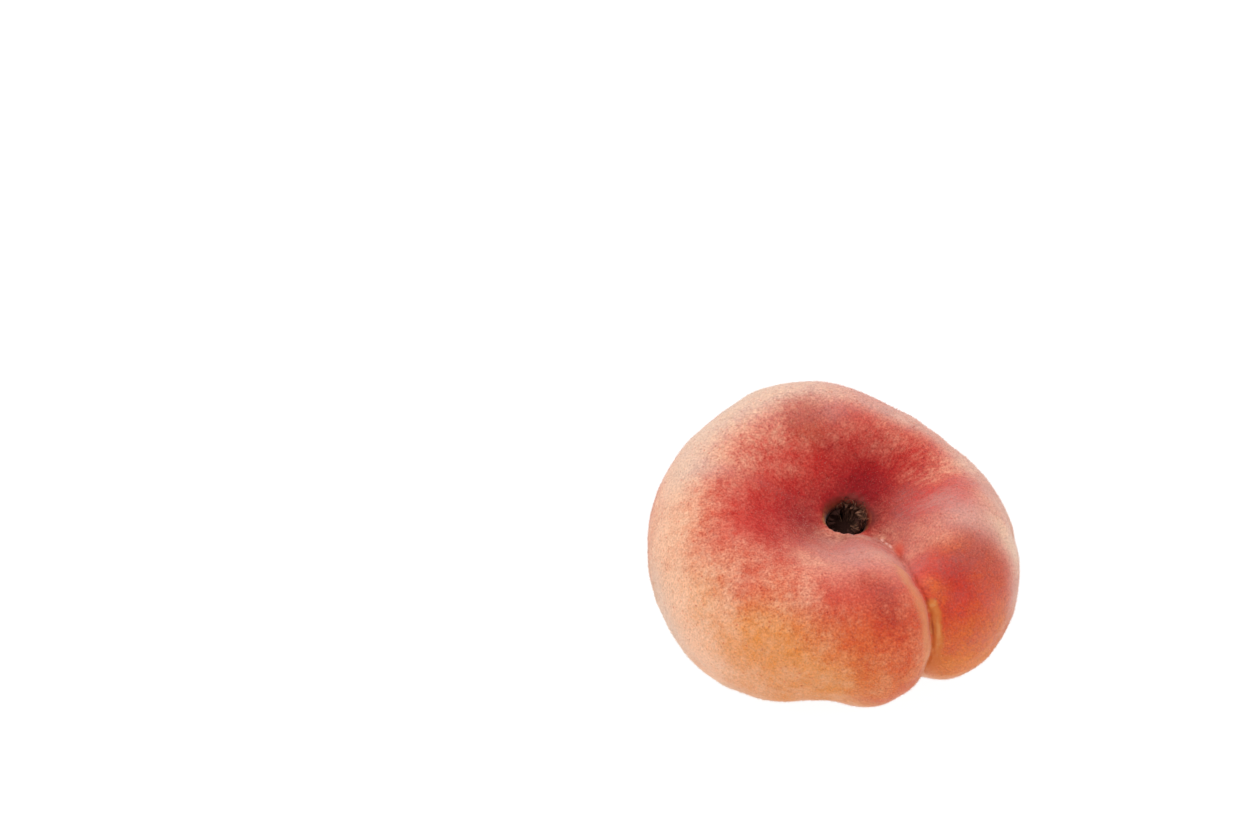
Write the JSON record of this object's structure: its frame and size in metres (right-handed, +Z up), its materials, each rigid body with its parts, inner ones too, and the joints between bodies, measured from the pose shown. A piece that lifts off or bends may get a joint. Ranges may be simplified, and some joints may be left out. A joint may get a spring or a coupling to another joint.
{
  "type": "flat peach",
  "caption": "Flat, doughnut-shaped peach with downy skin, a deep cleft, a dried blossom in its hole and a short stem stub underneath.",
  "frame": {"origin": "on the surface that the fruit rests on, under the middle of its bounding box", "axes": "+Z up, out of the blossom end; -Y is the front that the fruit leans to; +X to the right of it, with the cleft between them"},
  "size_m": [0.0698, 0.0664, 0.0384],
  "materials": {
    "peach_skin": null,
    "dried_blossom": "dry brown papery shreds",
    "stem_wood": "dull greenish-brown bark with a torn end"
  },
  "bodies": {
    "root": {"fruit": "peach_skin", "blossom_remnant": "dried_blossom", "stem_stub": "stem_wood"}
  },
  "joints": []
}
